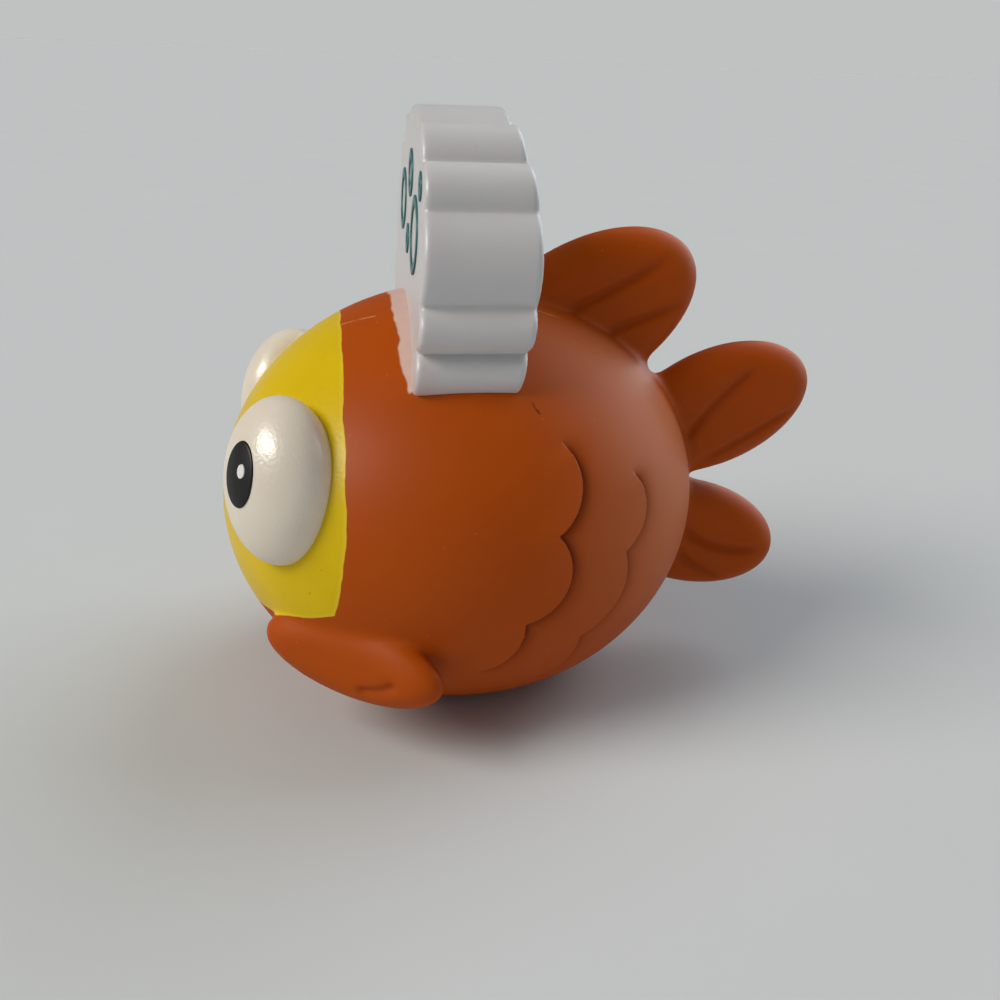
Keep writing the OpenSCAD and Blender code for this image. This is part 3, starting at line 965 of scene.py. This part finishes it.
def badge_finish():
    """White vinyl, tinted by overspray at the front of its foot."""
    finish, tree, shader = new_finish("white_badge_vinyl", ior=1.5, specular_ior_level=0.5)
    spot = place(tree)
    y, z = spot.parts()[1:]
    tone = noise(spot, 7, 3)
    colour = mix(tone, srgb(206, 204, 206), srgb(214, 212, 213))
    foot = step(z, BADGE_TOP - 19, BADGE_TOP - 30) * step(y, -4.5, -6.2)
    tint = foot * blend(noise(spot, 2, 3), 0.3, 1.0)
    colour = mix(tint * 0.5, colour, srgb(214, 178, 168))
    colour = mix(specks(spot, 1.1, 0.02) * 0.5, colour, srgb(120, 114, 110))
    grain = noise(spot, 0.7, 2)
    finish_with(shader, colour, blend(tone, 0.34, 0.42), grain, 0.2, 0.00006)
    return finish


badge = new_piece("scalloped_badge")
badge_vinyl = badge_finish()
recipe = scan_recipe("badge", badge_distance, badge_vinyl)
run_recipe(recipe, badge, scan_values(["badge"], BADGE_VOXEL))
recipe, given = new_recipe("badge_smoothing", {})
end_recipe(onto_surface(given["Geometry"], badge_distance), badge_vinyl)
run_recipe(recipe, badge, {})
print("badge:", len(badge.data.vertices), "points")

# %% [markdown]
# Bubbles are printed in teal on the front of the badge. They could be modelled one by one, but they
# repeat, so one recipe draws them all: a circle is set on each of a handful of points, swept into a thin
# flat ring of one line width, and laid against the badge's front, which leans.

# %% Printed bubbles
PRINT_LINE = 1.1
PRINT_REACH = 20
BUBBLES = [(-0.42, 0.62, 3.6), (0.04, 0.76, 2.6), (0.4, 0.56, 4.2), (-0.02, 0.5, 1.7), (0.66, 0.76, 1.5)]


def bubble_recipe(material):
    """A recipe that turns points into flat rings on the badge's front."""
    tree, given = new_recipe("printed_bubbles", {"Line": "NodeSocketFloat", "Coat": "NodeSocketFloat"})
    ring = Wire.add(tree, "GeometryNodeCurvePrimitiveCircle", None, {"Resolution": 96, "Radius": 1.0})
    radius = Wire.add(tree, "GeometryNodeInputNamedAttribute", {"data_type": "FLOAT"}, {"Name": "radius"})
    stand = (math.pi / 2, 0, 0)
    sockets = {"Points": given["Geometry"], "Instance": ring, "Rotation": stand, "Scale": radius}
    rings = Wire.add(tree, "GeometryNodeInstanceOnPoints", None, sockets)
    rings = Wire.add(tree, "GeometryNodeRealizeInstances", None, {0: rings})
    sockets = {"Width": given["Line"], "Height": given["Coat"]}
    band = Wire.add(tree, "GeometryNodeCurvePrimitiveQuadrilateral", None, sockets)
    shape = Wire.add(tree, "GeometryNodeCurveToMesh", None, {"Curve": rings, "Profile Curve": band})
    height = from_middle(tree)[2] + BODY_MID.z
    lean = Wire.add(tree, "ShaderNodeCombineXYZ", None, {"Y": badge_face(height, *BADGE_FRONT) * MM})
    end_recipe(moved(shape, lean), material)
    return tree


teal = plain_finish("teal_print", ((38, 92, 96), (52, 112, 116)), (0.32, 0.4))
middles = [(a * PRINT_REACH, 0, BADGE_TOP - BADGE_H * (1 - b)) for a, b, r in BUBBLES]
bubbles = new_piece("printed_bubbles", middles)
radii = [(r - PRINT_LINE / 2) * MM for a, b, r in BUBBLES]
bubbles.data.attributes.new("radius", "FLOAT", "POINT").data.foreach_set("value", radii)
run_recipe(bubble_recipe(teal), bubbles, {"Line": PRINT_LINE * MM, "Coat": 2 * COAT * MM})
print("bubbles:", len(BUBBLES), "rings,", len(bubbles.data.vertices), "points")

# %% [markdown]
# The squeaker's pieces are rigid and their solids are already the right shape, so they keep their meshes
# and only get finishes: cream moulded plastic, and a strip of brass for the reed.

# %% Squeaker
def brass_finish():
    """Brass with fine streaks along its length from rolling."""
    finish, tree, shader = new_finish("rolled_brass", metallic=1.0)
    spot = place(tree)
    stretched = Wire.add(tree, "ShaderNodeMapping", None, {"Vector": spot, "Scale": (1.0, 1.0, 0.08)})
    streaks = noise(stretched, 0.15, 2)
    colour = mix(streaks, srgb(190, 150, 70), srgb(214, 178, 96))
    finish_with(shader, colour, blend(streaks, 0.28, 0.42), streaks, 0.15, 0.00002)
    return finish


tones = ((206, 196, 160), (220, 211, 178))
cream = plain_finish("cream_squeaker_plastic", tones, (0.45, 0.58), 3, 0.4, 1.46, 0.4)
brass = brass_finish()
squeaker = {"squeaker_housing": cream, "reed_block": cream, "reed_clip": cream, "reed": brass}
for name, finish in squeaker.items():
    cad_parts[name].data.materials.clear()
    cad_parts[name].data.materials.append(finish)
print("squeaker:", len(squeaker), "solids finished")

# %% [markdown]
# Every soft piece rides on the shell. A hand that squeezes the flanks narrows the whole toy between them.
# The flanks alone could slide in, but then the skin would tear around them. Here each soft piece is only
# hung on the shell, and the solids that it stands for are hidden.

# %% Tie the pieces to the frame
tied = [
    (casting, "orange_vinyl", CAST_NODES),
    (eyes["left"], "white_vinyl", ["left_eye"]),
    (eyes["right"], "white_vinyl", ["right_eye"]),
    (pupils["left"], "black_paint", ["left_pupil"]),
    (pupils["right"], "black_paint", ["right_pupil"]),
    (glints["left"], "white_paint", ["left_glint"]),
    (glints["right"], "white_paint", ["right_glint"]),
    (badge, "white_vinyl", ["badge"]),
    (bubbles, "teal_paint", ["badge_print"]),
]
for piece, slot, nodes in tied:
    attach(piece, "shell")
    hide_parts(*nodes)
    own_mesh(piece)

# %% [markdown]
# The toy stands on a plain pale floor. A small sheet would need an edge that is lit as the air is, so the
# floor is simply wide enough to reach the edge of the picture.

# %% Floor
FLOOR_REACH = 20000


def floor_finish():
    """A matt pale floor that hardly varies."""
    finish, tree, shader = new_finish("pale_floor", roughness=0.9, specular_ior_level=0.0)
    colour = mix(noise(place(tree), 40, 2), srgb(208, 211, 212), srgb(212, 215, 216))
    tree.links.new(colour.socket, shader.inputs["Base Color"])
    return finish


corners = [(a * FLOOR_REACH, b * FLOOR_REACH, 0) for a, b in ((-1, -1), (1, -1), (1, 1), (-1, 1))]
floor = new_piece("floor", corners, [(0, 1, 2, 3)])
floor.data.materials.append(floor_finish())
print("floor laid")

# %% [markdown]
# The light is that of a room with a warm window ahead of the face and a broad cool one behind the tail.
# Matt vinyl shows a window as soft shade, and gloss paint shows it as a bright spot. One lamp would tie
# the strengths of the two together, so each window is two suns: one that only shades the toy, and a shine
# that shows only in its gloss. A third, small shine sharpens the highlight on the eye. Lamps near a small
# toy would fall off across the floor, and a sun lights everything evenly. It is made wide, so that its
# shadows are soft. The camera sees the air above the floor in the floor's own tone, so that no horizon
# shows.

# %% Light
WARM, COOL, NEUTRAL = (1.0, 0.96, 0.88), (0.88, 0.95, 1.0), (1.0, 0.98, 0.95)
ROOM_FILL = (0.19, 0.19, 0.195, 1)


def direction(azimuth, elevation):
    """The way from the toy towards a place, in degrees round from the face and degrees up."""
    turn, lift = math.radians(azimuth), math.radians(elevation)
    return Vector((math.sin(turn) * math.cos(lift), -math.cos(turn) * math.cos(lift), math.sin(lift)))


def window(name, azimuth, elevation, width, strength, colour, gloss=True, shade=True):
    """A sun as wide as a window that shines on the toy from these angles, all in degrees."""
    light = bpy.data.lights.new(name, "SUN")
    light.angle, light.energy, light.color = math.radians(width), strength, colour
    piece = bpy.data.objects.new(name, light)
    piece.rotation_euler = direction(azimuth, elevation).to_track_quat("Z", "Y").to_euler()
    piece.visible_glossy, piece.visible_diffuse = gloss, shade
    bpy.context.scene.collection.objects.link(piece)


window("warm_window", 12, 40, 32, 1.9, WARM, gloss=False)
window("cool_window", -150, 45, 50, 1.15, COOL, gloss=False)
window("warm_shine", 18, 26, 16, 2.4, WARM, shade=False)
window("cool_shine", -156, 20, 70, 3.4, COOL, shade=False)
window("near_shine", 34, 27, 8, 1.4, NEUTRAL, shade=False)
world = bpy.data.worlds.new("room")
bpy.context.scene.world = world
world.use_nodes = True
seen = Wire.add(world.node_tree, "ShaderNodeLightPath")
air = mix(seen, ROOM_FILL, srgb(191, 194, 193))
background = world.node_tree.nodes["Background"]
world.node_tree.links.new(air.socket, background.inputs["Color"])
bpy.context.scene.view_settings.view_transform = "Standard"

# %% [markdown]
# The camera stands close to the toy's left side, a little ahead of it and above it, and is tipped by a
# small roll, as a hand-held camera is. Its place follows from its angles, its distance, and the point of
# the picture where the body's middle falls.

# %% Camera
AZIMUTH, ELEVATION = 80, 24
ROLL = math.radians(2.5)
DISTANCE = 130
SHIFT = (-0.04, 0.01)
SENSOR, LENS, NEAREST = 36, 36, 0.01
away = direction(AZIMUTH, ELEVATION)
level = UP.cross(away).normalized()
over = away.cross(level)
right = level * math.cos(ROLL) + over * math.sin(ROLL)
top = over * math.cos(ROLL) - level * math.sin(ROLL)
stand = (BODY_MID + (away - right * SHIFT[0] - top * SHIFT[1]) * DISTANCE) * MM
view = bpy.data.cameras.new("camera")
view.sensor_width, view.lens, view.clip_start = SENSOR, LENS, NEAREST
camera = bpy.data.objects.new("camera", view)
camera.matrix_world = Matrix.Translation(stand) @ Matrix((right, top, away)).transposed().to_4x4()
bpy.context.scene.collection.objects.link(camera)
bpy.context.scene.camera = camera
print("camera at", [round(v * 1000, 1) for v in stand], "mm")
